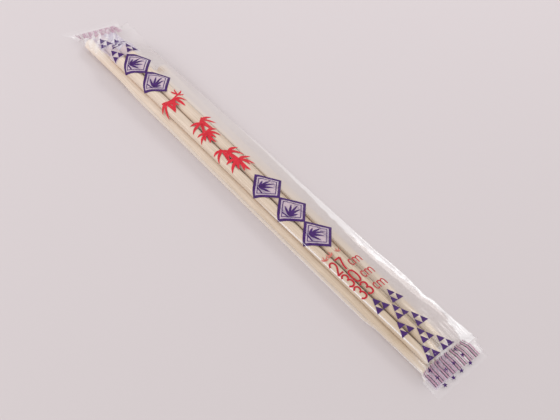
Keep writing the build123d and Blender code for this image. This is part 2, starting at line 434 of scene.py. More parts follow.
# Bamboo: its colour at the heads and at the tips, and the fibres along the stick

BAMBOO_ROUGHNESS = 0.6
BAMBOO_FROM_TO = (-0.16, 0.16)
BAMBOO_AT_HEADS = (0.83, 0.69, 0.575)
BAMBOO_AT_TIPS = (0.63, 0.5, 0.365)
FIBRE_SCALE = (60, 1800, 1800)
FIBRE_CLOUD = {"Scale": 1, "Detail": 4}
FIBRE_STOPS = (0.3, 0.62)
FIBRE_SHADE = (0.8, 0.78, 0.74)

# The floor, with painted light that makes it a little paler to one side, the world and the lamps

FLOOR_HALF = 3
FLOOR_ROUGHNESS = 0.8
FLOOR_LIGHT_ACROSS = (-0.763, 0.648, 0)
FLOOR_LIGHT_FROM_TO = (-0.16, 0.18)
FLOOR_SHADED_AND_LIT = ((0.622, 0.57, 0.574), (0.682, 0.624, 0.634))
WORLD_COLOUR = (1, 0.98, 0.99)
WORLD_STRENGTH = 0.86
LAMPS = (("key", (-0.22, 0.95, 0.8), (0.8, 0.3), 2.4),
         ("fill", (-0.3, -0.95, 0.62), (1.1, 0.35), 3.2))


def place(point):
    """A point of the pack's frame, in the shared frame."""
    return Vector(((point[0] + ORIGIN_X) * MM, (point[1] + ORIGIN_Y) * MM, point[2] * MM))


def between(a, b, share):
    """The value or values a share of the way from a to b."""
    if isinstance(a, (tuple, list)):
        return tuple(p + (q - p) * share for p, q in zip(a, b))
    return a + (b - a) * share


def ease(low, high, value):
    """0 below low, 1 above high, and a smooth rise between."""
    share = min(max((value - low) / (high - low), 0.0), 1.0)
    return share * share * (3 - 2 * share)


def within(span, value):
    """1 inside a span, with a smooth rise to it and a smooth fall after it."""
    return ease(span[0], span[1], value) * (1 - ease(span[2], span[3], value))


def bump(value, middle, width):
    """A smooth bump of height 1."""
    return exp(-((value - middle) / width) ** 2)


def along_table(table, u):
    """The value at u in a short list of (u, value)."""
    for (u0, first), (u1, last) in zip(table, table[1:]):
        if u < u1:
            return between(first, last, ease(u0, u1, u))
    return table[-1][1]


def even_shares(count):
    """Even shares from 0 up to the last one before 1."""
    return [step / count for step in range(count)]


def add_object(name, data):
    """A new object in the scene."""
    made = bpy.data.objects.new(name, data)
    bpy.context.scene.collection.objects.link(made)
    return made


def add_mesh(name, points, faces):
    """A new mesh object of points in metres."""
    data = bpy.data.meshes.new(name)
    data.from_pydata(points, [], faces)
    data.update()
    return add_object(name, data)


def turned(along, back):
    """The turn of a camera or lamp that looks away from back, with its first axis near along."""
    back = Vector(back).normalized()
    along = Vector(along)
    along = (along - back * along.dot(back)).normalized()
    return Matrix((along, back.cross(along), back)).transposed().to_4x4()


def add_camera():
    """The photograph's camera."""
    data = bpy.data.cameras.new("camera")
    data.lens = CAMERA_LENS
    data.sensor_width = CAMERA_SENSOR
    data.clip_start, data.clip_end = CAMERA_CLIP
    camera = add_object("camera", data)
    camera.matrix_world = Matrix.Translation(Vector(CAMERA_AT)) @ turned(CAMERA_RIGHT, CAMERA_BACK)
    bpy.context.scene.camera = camera


# The sticks and the belt of film round them. A pulley is what the belt goes round: (y, z, radius),
# with a radius below 0 where the belt dips.

def stick_line(node):
    """The centre line of a CAD stick, as its two ends in the pack's frame."""
    low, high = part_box(node)
    ends = []
    for edge in (low.x, high.x):
        near = [v.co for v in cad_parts[node].data.vertices if abs(v.co.x - edge) < END_SLICE * MM]
        middle = (Vector(map(min, *near)) + Vector(map(max, *near))) / 2
        ends.append((middle.x / MM - ORIGIN_X, middle.y / MM - ORIGIN_Y, middle.z / MM))
    return ends


LINES = {node: stick_line(node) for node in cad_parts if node.startswith("chopstick")}


def pulley(node, x):
    """A stick at x as the film meets it."""
    head, tip = LINES[node]
    share = (x - head[0]) / (tip[0] - head[0])
    _, y, z = between(head, tip, share)
    return (y, z, between(HEAD_RADIUS, TIP_RADIUS, share) + FILM_GAP)


def belt_normals(pulleys):
    """Outward normals of the straight runs, each from one pulley to the next."""
    found = []
    for (y1, z1, r1), (y2, z2, r2) in zip(pulleys, pulleys[1:] + pulleys[:1]):
        span = hypot(y2 - y1, z2 - z1)
        along_y = (y2 - y1) / span
        along_z = (z2 - z1) / span
        lean = (r1 - r2) / span
        square = sqrt(1 - lean ** 2)
        found.append((lean * along_y + square * along_z, lean * along_z - square * along_y))
    return found


def belt_turn(before, after, radius):
    """Angle that the belt turns round a pulley: anticlockwise, or clockwise in a dip."""
    angle = atan2(before[0] * after[1] - before[1] * after[0], before[0] * after[0] + before[1] * after[1])
    return copysign(copysign(angle, angle * radius) % (2 * pi), radius)


def belt_length(pulleys):
    """Length round the belt."""
    normals = belt_normals(pulleys)
    total = 0
    for i, (y, z, r) in enumerate(pulleys):
        after = normals[i]
        y2, z2, r2 = pulleys[(i + 1) % len(pulleys)]
        straight = hypot(y2 + r2 * after[0] - y - r * after[0], z2 + r2 * after[1] - z - r * after[1])
        total += r * belt_turn(normals[i - 1], after, r) + straight
    return total


def stands_out(before, pulley_between, after):
    """Whether a pulley holds the belt off the straight run from the one before it to the one after it."""
    if dist(before[:2], pulley_between[:2]) <= abs(before[2] - pulley_between[2]):
        return False
    one, two, _ = belt_normals([before, pulley_between, after])
    return one[0] * two[1] - one[1] * two[0] > 0


def run_height(one, two, y):
    """Height at y of the straight run from one pulley to the next."""
    normal = belt_normals([one, two])[0]
    first, last = [(at[0] + at[2] * normal[0], at[1] + at[2] * normal[1]) for at in (one, two)]
    return between(first[1], last[1], (y - first[0]) / (last[0] - first[0]))


def with_crease(left, low, crease, dip, top_right, top_left, taken_up=0.0, shelf=None):
    """Pulleys of a section whose right fold lies as far out as the tube's own width lets it."""
    crease_z, crease_r = crease
    share, depth, dip_r = dip

    def pulleys(crease_y):
        made = [left, low, (crease_y, crease_z, crease_r)]
        after = shelf if shelf and stands_out(made[-1], shelf, top_right) else top_right
        dip_y = between(crease_y, top_right[0], share)
        dip_z = between(crease_z + crease_r, top_right[1] + top_right[2], share) - depth
        if dip_z < run_height(made[-1], after, dip_y) - LEAST_DIP:
            made.append((dip_y, dip_z + dip_r, -dip_r))
        if shelf and stands_out(made[-1], shelf, top_right):
            made.append(shelf)
        return made + [top_right, top_left]

    near = low[0] + low[2]
    far = near + FILM_WIDTH
    for _ in range(HALVINGS):
        middle = (near + far) / 2
        if belt_length(pulleys(middle)) < 2 * FILM_WIDTH - taken_up:
            near = middle
        else:
            far = middle
    return pulleys(near)


def fold_dip(x, top_right):
    """The dip that leaves the film nearly level beside its right fold, where the sticks are thin enough."""
    drop = top_right[1] + top_right[2] - CREASE[0] - CREASE[1]
    share = along_table(LEVEL_SHARES, x)
    held = LEVEL_HELD * (1 - ease(*LEVEL_HELD_FADE, x))
    return (share, share * (drop - LEVEL_FALL) * ease(*LEVEL_RISE, x) - held, LEVEL_CURVE)


def right_shelf(x):
    """The rightmost stick, which holds the slack film up. The film sinks ahead of its head."""
    y, z, radius = pulley("chopstick_27cm_right", x)
    return (y, z - SHELF_DROP * (1 - ease(*SHELF_RISE, x)), radius)


def left_fold(x):
    """The fold that the film keeps along its left side, standing off the long left stick."""
    stick = pulley("chopstick_33cm_left", x)
    rise = ease(*LEFT_FOLD_RISE, x)
    reach = along_table(LEFT_FOLD_REACH, x) * rise
    fold = (stick[0] - stick[2] - reach + LEFT_FOLD_RADIUS, LEFT_FOLD_HEIGHT, LEFT_FOLD_RADIUS)
    return between(stick, fold, rise)


def full_section(x):
    """The film over the whole pile."""
    top_right = pulley("chopstick_30cm_right", x)
    return with_crease(left_fold(x), pulley("chopstick_27cm_right", x), CREASE, fold_dip(x, top_right),
                       top_right, pulley("chopstick_30cm_left", x), along_table(TAKEN_UP, x), right_shelf(x))


def low_section(x):
    """The film over the long pair alone."""
    top_left = pulley("chopstick_33cm_left", x)
    top_right = pulley("chopstick_33cm_right", x)
    edge = top_left[2] * LOW_LEFT_SHARE
    left = (top_left[0] - top_left[2] - LOW_LEFT_REACH + edge, FILM_FLOOR + edge, edge)
    low = (pulley("chopstick_27cm_right", x)[0], FILM_FLOOR + LOW_CURVE, LOW_CURVE)
    return with_crease(left, low, LOW_CREASE, LOW_DIP, top_right, top_left, along_table(TAKEN_UP, x))


def mouth_section():
    """The nearly closed tube where a seal begins, in the seal's own plane."""
    low_z = -MOUTH_RADIUS - MOUTH_BOW + MOUTH_CURVE
    left = (MOUTH_RADIUS - FILM_WIDTH / 2, 0, MOUTH_RADIUS)
    low = (FILM_WIDTH * MOUTH_LOW_SHARE, low_z, MOUTH_CURVE)
    top_left, top_right = [(FILM_WIDTH * share, -low_z, MOUTH_CURVE) for share in MOUTH_TOP_SHARES]
    dip = (MOUTH_DIP_SHARE, MOUTH_BOW / 2, MOUTH_CURVE)
    return with_crease(left, low, (0, MOUTH_RADIUS), dip, top_right, top_left)


def belt_points(pulleys):
    """The belt as a closed list of close points (y, z)."""
    normals = belt_normals(pulleys)
    points = []
    for i, (y, z, r) in enumerate(pulleys):
        before = normals[i - 1]
        turn = belt_turn(before, normals[i], r)
        steps = max(2, ceil(abs(turn) / TURN_STEP))
        for step in range(steps + 1):
            angle = turn * step / steps
            normal = (before[0] * cos(angle) - before[1] * sin(angle),
                      before[0] * sin(angle) + before[1] * cos(angle))
            points.append((y + r * normal[0], z + r * normal[1]))
    return points


# Rings of the film, one point for each thread that runs along it

def thread_place(step):
    """Where a thread lies round the film, from the print's middle line."""
    return step * STEP - FILM_WIDTH


def top_crossing(closed, lengths, line_y):
    """Length round a section to where its upper side crosses line_y."""
    found = []
    for a, b, first, last in zip(closed, closed[1:], lengths, lengths[1:]):
        if (a[0] - line_y) * (b[0] - line_y) <= 0 and a[0] != b[0]:
            share = (line_y - a[0]) / (b[0] - a[0])
            found.append((between(a[1], b[1], share), between(first, last, share)))
    return max(found)[1]


def ring(pulleys, line_y):
    """Points at even steps round the belt. The middle one is where its upper side crosses line_y."""
    points = belt_points(pulleys)
    closed = points + points[:1]
    lengths = [0.0]
    for a, b in zip(closed, closed[1:]):
        lengths.append(lengths[-1] + dist(a, b))
    girth = lengths[-1]
    start = top_crossing(closed, lengths, line_y)
    wanted = []
    for step in range(AROUND):
        across = thread_place(step)
        if abs(across) > TRUE_HALF:
            rest = (abs(across) - TRUE_HALF) / (FILM_WIDTH - TRUE_HALF) * (girth / 2 - TRUE_HALF)
            across = copysign(TRUE_HALF + rest, across)
        wanted.append(((start - across) % girth, step))
    placed = [None] * AROUND
    i = 0
    for want, step in sorted(wanted):
        while lengths[i + 1] < want:
            i += 1
        share = (want - lengths[i]) / max(lengths[i + 1] - lengths[i], LEAST_LENGTH)
        placed[step] = between(closed[i], closed[i + 1], share)
    return placed


def across_ring(x, section):
    """A section's ring in the plane across the pack at x, with its place."""
    return (x, [Vector((x, y, z)) for y, z in ring(section(x), LINE_AT_HEADS + LINE_SLOPE * x)])


def drift(u, v, wave):
    """Smooth noise from -1 to 1."""
    return noise.noise(Vector((u / wave[0], v / wave[1], wave[2])))


def gathered(across, run):
    """Where the left part of the far seal goes: drawn in and folded at the mouth, free at its far corner."""
    if across > GATHER_FROM:
        return across, 0.0
    draw = between(GATHER_DRAW, 1.0, ease(0.0, GATHER_RUN, run))
    folds = sin((across - GATHER_FROM) / GATHER_PITCH * 2 * pi)
    return GATHER_FROM + (across - GATHER_FROM) * draw, (1 - draw) * GATHER_DEPTH * folds


def rolled(across, run):
    """Where the right edge of the near seal goes: it curls up and over."""
    share = ease(0.0, ROLL_RUN, run)
    if across < ROLL_FROM or share == 0.0:
        return across, 0.0
    radius = ROLL_RADIUS / share
    angle = (across - ROLL_FROM) / radius
    return ROLL_FROM + radius * sin(angle), radius * (1 - cos(angle))


class Seal:
    """An end seal: its mouth, its directions, where the print's line meets it and how its edge moves."""

    def __init__(self, mouth, outward, skew, roll, droop, offset, edge):
        turn = radians(skew)
        lean = radians(roll)
        fall = radians(droop)
        level = Vector((cos(turn), -sin(turn), 0)) * outward
        self.mouth = Vector(mouth)
        side = Vector((sin(turn), cos(turn), 0))
        self.across = side * cos(lean) - Vector((0, 0, sin(lean)))
        self.square = level.cross(self.across) * outward
        self.ahead = level * cos(fall) - Vector((0, 0, sin(fall)))
        self.offset = offset
        self.edge = edge

    def point(self, across, height, run):
        """A point of the seal, moved as its edge moves."""
        across, fold = self.edge(across, run)
        return self.mouth + self.across * across + self.square * (height + fold) + self.ahead * run

    def mouth_ring(self):
        """The ring where the seal begins."""
        return [self.point(y, z, 0.0) for y, z in ring(mouth_section(), self.offset)]

    def crimped_ring(self, run):
        """A ring of the seal: both walls together in ribs, fading out in the margin."""
        rise = CRIMP_RISE * within(CRIMP_SPAN, run)
        curl = MARGIN_CURL * ease(CRIMP_LENGTH, CRIMP_LENGTH + MARGIN_LENGTH, run)
        points = []
        for step in range(AROUND):
            y = thread_place(step) + self.offset
            wall = WALL_APART
            if y < -FILM_WIDTH:
                y += 2 * FILM_WIDTH
            if abs(y) > FILM_WIDTH / 2:
                y = copysign(FILM_WIDTH - abs(y), y)
                wall = -WALL_APART
            phase = (y / FILM_WIDTH + 1 / 2) * CRIMP_RIBS * 2 * pi
            height = rise * cos(phase) + wall + curl * drift(y, run, MARGIN_WAVE)
            points.append(self.point(y, height, run))
        return points


FAR_SEAL = Seal(FAR_MOUTH, -1, FAR_SKEW, FAR_ROLL, FAR_DROOP, 0.0, gathered)
NEAR_SEAL = Seal(NEAR_MOUTH, 1, 0.0, 0.0, NEAR_DROOP, NEAR_SEAL_OFFSET, rolled)


def bridged(one, two, count, soft=False):
    """Rings from one up to the last before another, each a share of the way between them."""
    made = []
    for share in even_shares(count):
        over = ease(0, 1, share) if soft else share
        made.append((between(one[0], two[0], share), [a.lerp(b, over) for a, b in zip(one[1], two[1])]))
    return made


def body_rings(start, end, shares, section):
    """Rings of one section, at shares of the way along a stretch of the pack."""
    return [across_ring(between(start, end, share), section) for share in shares]


def film_rings():
    """All the rings of the sleeve, from its far margin to its near one."""
    far = (FAR_MOUTH[0], FAR_SEAL.mouth_ring())
    near = (NEAR_MOUTH[0], NEAR_SEAL.mouth_ring())
    heads = across_ring(-END_CLEARANCE, low_section)
    tips = across_ring(LONG + END_CLEARANCE, low_section)
    low = across_ring(DRAPE_START, low_section)
    full = across_ring(DRAPE_END, full_section)
    rings = [(FAR_MOUTH[0] - run, FAR_SEAL.crimped_ring(run)) for run in SEAL_RUNS[::-1]]
    rings += bridged(far, heads, FAR_MOUTH_SPANS, soft=True)
    rings += body_rings(heads[0], DRAPE_START, even_shares(HEAD_SPANS), low_section)
    rings += bridged(low, full, DRAPE_SPANS)
    rings += body_rings(DRAPE_END, MIDDLE_TIP + END_CLEARANCE, even_shares(BODY_SPANS) + [1], full_section)
    rings += bridged(rings[-1], tips, TIP_SPANS)[1:]
    rings += bridged(tips, near, NEAR_MOUTH_SPANS, soft=True)
    return rings + [near] + [(NEAR_MOUTH[0] + run, NEAR_SEAL.crimped_ring(run)) for run in SEAL_RUNS]


def fold_threads(points):
    """Places round the film, from its print line, of its left and right folds."""
    left = min(range(AROUND // 2), key=lambda i: points[i].y)
    right = max(range(AROUND // 2, AROUND), key=lambda i: points[i].y)
    return thread_place(left), thread_place(right)


# Wrinkles, and the film's milky places, painted highlights, painted light and painted shade

def ripple(u, v, wave):
    """Smooth noise from 0 to 1."""
    return 0.5 + 0.5 * drift(u, v, wave)


def swell(at, pitch, push=0.0):
    """An even wave from 0 to 1."""
    return 0.5 + 0.5 * sin(2 * pi * at / pitch + push)


def band_highlight(u, v, right, dimples):
    """The painted highlight of the band along the right fold, with painted shade at its dimples."""
    width = along_table(BAND_WIDTH, u) * (1 + BAND_WAVER * drift(u, 0.0, BAND_WAVE))
    rise = ease(right - width - BAND_SOFTNESS[0], right - width + BAND_SOFTNESS[1], v)
    dimple = dimples * bump(right - v, *BAND_DIMPLE_AT)
    tone = BAND_EVEN + BAND_CRUMPLE * ripple(u, v, QUICK_WAVE) - BAND_DIMPLE_SHADE * dimple
    return rise * along_table(BAND_HIGHLIGHT, u) * tone


def veil_haze_and_sheen(u, v, tips):
    """How much the veil over the slack side covers the film, partly as its haze and partly as painted
    reflection.
    """
    veil = ease(*VEIL_RISE, v) * along_table(VEIL_HAZE_AND_SHEEN, u)
    veil *= VEIL_EVEN + VEIL_WAVER * ripple(u, v, SLOW_WAVE)
    veil *= 1 - HEAD_SHOWS * bump(u, *HEAD_ALONG) * bump(v, *HEAD_ACROSS)
    return max(veil, TIPS_VEIL * ease(*TIPS_VEIL_RISE, v) * tips)


def relief(u, v, folds):
    """How far wrinkles lift the film between its mouths, how much milk and painted light cover it, how much
    of that is pale painted highlight and how much is cream painted light.
    """
    left, right = folds
    fold = right - between(FOLD_INSET, 0.0, ease(*FOLD_INSET_FADE, u))
    above = 1 - ease(fold + PAST_FOLD[0], fold + PAST_FOLD[1], v)
    tips = ease(*TIPS_RISE, u)

    sway = drift(u, v, SWAY_WAVE)
    near = ease(*PLEAT_RISE, u)
    pleats = swell(v, PLEAT_PITCH, PLEAT_SWAY * sway) ** 2
    far = 1 - ease(*BUNCH_FADE, u)
    bunches = swell(v * BUNCH_ACROSS + u * BUNCH_ALONG, BUNCH_PITCH, BUNCH_SWAY * sway) ** 2
    shoulder_at = SHOULDER_LINE[0] + SHOULDER_LINE[1] * u - SHOULDER_BEND * bump(u, *SHOULDER_BEND_AT)
    shoulder = bump(v, shoulder_at, SHOULDER_WIDTH) * within(SHOULDER_SPAN, u)
    inner_at = right - between(*INNER_FROM_FOLD, ease(*INNER_CROSSES, u))
    inner = bump(v, inner_at, INNER_WIDTH) * within(INNER_SPAN, u)
    dimples = swell(u, DIMPLE_PITCH) * within(DIMPLE_SPAN, u)

    lift = PLEAT_LIFT * near * pleats + BUNCH_LIFT * far * bunches + TIGHT_LIFT * ripple(u, v, TIGHT_WAVE)
    slack = SLOW_LIFT * ripple(u, v, SLOW_WAVE) + QUICK_LIFT * ripple(u, v, QUICK_WAVE)
    lift += slack * ease(*SLACK_RISE, v) * above + SHOULDER_LIFT * shoulder + INNER_LIFT * inner
    lift -= DIMPLE_DEPTH * dimples * bump(right - v, *DIMPLE_AT)

    # Painted highlights along the hem, the ridges and the band, painted light on the pleats, and painted
    # highlights on the far bunches.
    hem = bump(v, left, HEM_WIDTH) * ease(*HEM_RISE, u)
    crease_highlights = near * (PLEAT_LIGHT[0] + PLEAT_LIGHT[1] * pleats) * (1 - PLEAT_DIMMING * ease(*PLEAT_DIMS, v))
    crease_highlights += SHOULDER_HIGHLIGHT * shoulder + INNER_HIGHLIGHT * inner + HEM_HIGHLIGHT * hem
    bunch_highlights = far * (BUNCH_HIGHLIGHT[0] + BUNCH_HIGHLIGHT[1] * bunches) * ease(*BUNCH_HIGHLIGHT_RISE, v)
    bunch_highlights *= 1 - BUNCH_DIMMING * ease(*BUNCH_DIMS, v)
    white = max(crease_highlights, band_highlight(u, v, right, dimples) * above) + bunch_highlights
    # The veil: partly the film's haze, partly painted reflection.
    veil = veil_haze_and_sheen(u, v, tips) * above
    # Cream painted light on the long left stick's shaded side, and on the flank where the veil begins.
    side = SIDE_PAINTED_LIGHT * bump(v - left, *SIDE_AT) * ease(*SIDE_RISE, u)
    milk_and_painted_light = max(white, veil, side)
    flank_light = VEIL_CREAM_LIGHT * (1 - ease(CREAM_LIGHT_FADE[0], CREAM_LIGHT_FADE[1] + TIPS_CREAM_LIGHT_REACH * tips, v))
    cream_light = max(side, flank_light * veil) / max(side, veil, LEAST_MILK)
    return lift, (min(milk_and_painted_light, 1.0), min(white / max(milk_and_painted_light, LEAST_MILK), 1.0), min(cream_light, 1.0))


def seal_look(u, step):
    """How a thread looks on a seal: its milk, with a painted glare and a painted highlight where the near
    seal's edge rolls. All of it is white, and none is cream painted light.
    """
    run = max(u - NEAR_MOUTH[0], FAR_MOUTH[0] - u)
    milk_and_glare = between(SEAL_MILK, MARGIN_MILK, ease(*MARGIN_CLEARS, run))
    if u > NEAR_MOUTH[0]:
        across = thread_place(step) + NEAR_SEAL_OFFSET
        across = min(across, FILM_WIDTH - across)
        # A painted glare across the near seal, and a painted highlight on its rolled edge
        milk_and_glare += PAINTED_GLARE * bump(across, *GLARE_AT) * (1 - ease(*GLARE_FADE, run))
        roll = ease(*ROLL_HIGHLIGHT_RISE, across) * ease(0.0, ROLL_RUN, run) * (1 - ease(*ROLL_HIGHLIGHT_FADE, run))
        milk_and_glare += ROLL_HIGHLIGHT * roll
    return min(milk_and_glare, 1.0), 1.0, 0.0


def wrinkled(rings):
    """The rings with their wrinkles, and for each point its cover of milk and painted light, the pale share
    of that, and the share of cream painted light.
    """
    made = []
    looks = []
    for i, (u, points) in enumerate(rings):
        if not FAR_MOUTH[0] < u < NEAR_MOUTH[0]:
            made.append((u, points))
            looks += [seal_look(u, step) for step in range(AROUND)]
            continue
        before = rings[i - 1][1]
        after = rings[i + 1][1]
        folds = fold_threads(points)
        row = []
        for step, point in enumerate(points):
            around = points[(step + 1) % AROUND] - points[step - 1]
            normal = (after[step] - before[step]).cross(around)
            normal = normal.normalized() if normal.length > 0 else Vector((0, 0, 1))
            lift, look = relief(u, thread_place(step), folds)
            row.append(point + normal * lift * ease(*FACES_UP, normal.z) * within(WRINKLE_SPAN, u))
            looks.append(look)
        made.append((u, row))
    return made, looks


RINGS, LOOKS = wrinkled(film_rings())
RING_PLACES = [u for u, _ in RINGS]


def on_film(u, v, lift):
    """The point of the film at u along it and v across it from the print line, lifted off it."""
    low = min(max(bisect.bisect_right(RING_PLACES, u) - 1, 0), len(RINGS) - 2)
    share = (u - RING_PLACES[low]) / (RING_PLACES[low + 1] - RING_PLACES[low])
    at = (v + FILM_WIDTH) / STEP
    j = floor(at)
    part = at - j
    first, last = RINGS[low][1], RINGS[low + 1][1]
    a, b = first[j % AROUND], first[(j + 1) % AROUND]
    c, d = last[j % AROUND], last[(j + 1) % AROUND]
    point = a.lerp(b, part).lerp(c.lerp(d, part), share)
    normal = (c - a + d - b).cross(b - a + d - c).normalized()
    return point + normal * lift


# Materials. What feeds a node's input is a value or another node's output.

def opaque(colour):
    """A colour of three values with full cover."""
    return (*colour, 1)


def set_inputs(tree, node, inputs):
    """Gives each named input of a node its value, or joins it to another node's output."""
    for key, value in inputs.items():
        if isinstance(value, bpy.types.NodeSocket):
            tree.links.new(value, node.inputs[key])
        else:
            node.inputs[key].default_value = value


def add_node(tree, kind, inputs, **properties):
    """A node with its properties and inputs set."""
    node = tree.nodes.new("ShaderNode" + kind)
    for key, value in properties.items():
        setattr(node, key, value)
    set_inputs(tree, node, inputs)
    return node


def material(name):
    """A new node material, with its tree and its shader."""
    made = bpy.data.materials.new(name)
    made.use_nodes = True
    return made, made.node_tree, made.node_tree.nodes["Principled BSDF"]


def object_place(tree):
    """The place on the object, in metres."""
    return add_node(tree, "TexCoord", {}).outputs["Object"]


def stored(tree, name):
    """A value that store() keeps on a piece's points."""
    return add_node(tree, "Attribute", {}, attribute_name=name).outputs["Fac"]


def mapped(tree, value, span, low=0.0, high=1.0):
    """A value that goes from low to high while another goes through a span."""
    inputs = {"Value": value, "From Min": span[0], "From Max": span[1], "To Min": low, "To Max": high}
    return add_node(tree, "MapRange", inputs).outputs["Result"]


def mixed(tree, factor, first, last, blend="MIX"):
    """Two colours mixed."""
    inputs = {"Factor": factor, "A": first, "B": last}
    node = add_node(tree, "Mix", inputs, data_type="RGBA", blend_type=blend)
    return node.outputs["Result"]


def clouded(tree, vector, cloud, stops, first, last):
    """A colour that varies with noise from the first to the last."""
    noise_node = add_node(tree, "TexNoise", {"Vector": vector, **cloud})
    ramp = add_node(tree, "ValToRGB", {"Fac": noise_node.outputs["Fac"]})
    for element, stop, colour in zip(ramp.color_ramp.elements, stops, (first, last)):
        element.position = stop
        element.color = opaque(colour)
    return ramp.outputs["Color"]


def along_pack(tree, span, first, last):
    """A colour that changes along the pack, from one place to another."""
    split = add_node(tree, "SeparateXYZ", {"Vector": object_place(tree)})
    return mixed(tree, mapped(tree, split.outputs["X"], span), opaque(first), opaque(last))


def film_material():
    """Clear glossy film: painted highlights along its creases, a veil of haze and painted reflection where
    it stands off the sticks, cream painted light, and painted shade towards the tips.
    """
    made, tree, shader = material("clear_film")
    # The veil colour and the cream painted light, darkened by painted shade towards the tips, then the pale
    # colour of milk and painted highlights.
    veil = mixed(tree, stored(tree, "cream_light"), opaque(VEIL_COLOUR), opaque(CREAM_LIGHT_COLOUR))
    # Painted shade towards the tips
    painted_shade = along_pack(tree, PAINTED_SHADE_FROM_TO, UNSHADED, PAINTED_SHADE_AT_TIPS)
    shaded = mixed(tree, 1.0, veil, painted_shade, "MULTIPLY")
    colour = mixed(tree, stored(tree, "white"), shaded, opaque(HIGHLIGHT_AND_MILK_COLOUR))
    cover = mapped(tree, stored(tree, "haze_and_painted_light"), (0, 1), CLEAR_COVER, MILK_AND_LIGHT_COVER)
    mirror = add_node(tree, "Math", {0: MIRROR_COVER, 1: cover}, operation="DIVIDE", use_clamp=True)
    set_inputs(tree, shader, {"Base Color": colour, "Roughness": FILM_ROUGHNESS, "Alpha": cover,
                              "Metallic": mirror.outputs["Value"]})
    return made


def tint_material(name, colour, cover):
    """A faint clear ink."""
    made, tree, shader = material(name)
    set_inputs(tree, shader, {"Base Color": opaque(colour), "Alpha": cover, **INK_SURFACE})
    return made


def ink_material(name, colour, deep):
    """Glossy printed ink that varies a little in depth."""
    made, tree, shader = material(name)
    varied = clouded(tree, object_place(tree), INK_CLOUD, INK_STOPS, deep, colour)
    set_inputs(tree, shader, {"Base Color": varied, **INK_SURFACE})
    return made


def bamboo_material():
    """Pale bamboo with fine fibres along the stick."""
    made, tree, shader = material("bamboo")
    mapping = add_node(tree, "Mapping", {"Vector": object_place(tree), "Scale": FIBRE_SCALE})
    fibres = clouded(tree, mapping.outputs["Vector"], FIBRE_CLOUD, FIBRE_STOPS, FIBRE_SHADE, UNSHADED)
    tone = along_pack(tree, BAMBOO_FROM_TO, BAMBOO_AT_HEADS, BAMBOO_AT_TIPS)
    colour = mixed(tree, 1.0, tone, fibres, "MULTIPLY")
    set_inputs(tree, shader, {"Base Color": colour, "Roughness": BAMBOO_ROUGHNESS})
    return made


def floor_material():
    """A pale plain surface, with painted light that makes it a little paler to one side."""
    made, tree, shader = material("floor")
    # Painted light: the floor grows paler in one direction across it
    towards_light = add_node(tree, "VectorMath", {0: object_place(tree), 1: FLOOR_LIGHT_ACROSS}, operation="DOT_PRODUCT")
    colour = mixed(tree, mapped(tree, towards_light.outputs["Value"], FLOOR_LIGHT_FROM_TO), *map(opaque, FLOOR_SHADED_AND_LIT))
    set_inputs(tree, shader, {"Base Color": colour, "Roughness": FLOOR_ROUGHNESS})
    return made


# The film sheet and its back seam

def store(piece, name, values):
    """Keeps a value for each point of a piece, which its material reads."""
    layer = piece.data.attributes.new(name, "FLOAT", "POINT")
    layer.data.foreach_set("value", values)


def smooth(data):
    """Shades a mesh smooth."""
    data.polygons.foreach_set("use_smooth", [True] * len(data.polygons))


def ring_faces(count, size):
    """Faces between rings of one size, each ring closed on itself."""
    faces = []
    for i in range(0, (count - 1) * size, size):
        for j in range(size):
            k = (j + 1) % size
            faces.append((i + j, i + k, i + size + k, i + size + j))
    return faces


def add_film(clear_film):
    """The sleeve as one sheet of film."""
    points = [place(p) for _, points in RINGS for p in points]
    film = add_mesh("film_sheet", points, ring_faces(len(RINGS), AROUND))
    smooth(film.data)
    for name, values in zip(("haze_and_painted_light", "white", "cream_light"), zip(*LOOKS)):
        store(film, name, values)
    film.data.materials.append(clear_film)
    film.visible_shadow = False
    film.visible_diffuse = False
    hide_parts("film_sleeve")
    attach(film, "root")


def seam_section(x, ribbed):
    """The seam's outline across the pack at x, with its top pressed in where it is ribbed."""
    points = []
    for side in (1, -1):
        for k in range(SEAM_ACROSS + 1):
            share = (2 * k / SEAM_ACROSS - 1) * side
            rib = SEAM_RIB * sqrt(1 - abs(share)) if ribbed else 0.0
            height = SEAM_HEIGHT - rib if side > 0 else 0.0
            points.append(Vector((x, SEAM_MIDDLE + SEAM_SLOPE * x + share * SEAM_HALF, height)))
    return points


def add_back_seam(clear_film):
    """A thin closed strip under the film, ribbed along the middle of its width."""
    count = round((LONG + 2 * END_CLEARANCE) / SEAM_STEP)
    points = []
    for i in range(count + 1):
        points += seam_section(between(-END_CLEARANCE, LONG + END_CLEARANCE, i / count), i % 2)
    size = 2 * (SEAM_ACROSS + 1)
    walls = [face[::-1] for face in ring_faces(count + 1, size)]
    caps = [tuple(range(size)), tuple(range(count * size, (count + 1) * size))[::-1]]
    seam = add_mesh("film_back_seam", [place(p) for p in points], walls + caps)
    seam.data.materials.append(clear_film)
    for name, value in (("haze_and_painted_light", SEAM_MILK), ("white", 1.0)):
        store(seam, name, [value] * len(seam.data.vertices))
    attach(seam, "root")


# The print: closed outlines of (u, v), laid on the film

def cut_evenly(flat, axis, step):
    """Cuts a flat mesh at even steps along one axis."""
    values = [vert.co[axis] for vert in flat.verts]
    normal = Vector((0, 0, 0))
    normal[axis] = 1
    at = floor(min(values) / step) * step
    while at < max(values):
        geometry = flat.verts[:] + flat.edges[:] + flat.faces[:]
        bmesh.ops.bisect_plane(flat, geom=geometry, dist=CUT_REACH, plane_co=normal * at, plane_no=normal)
        at += step


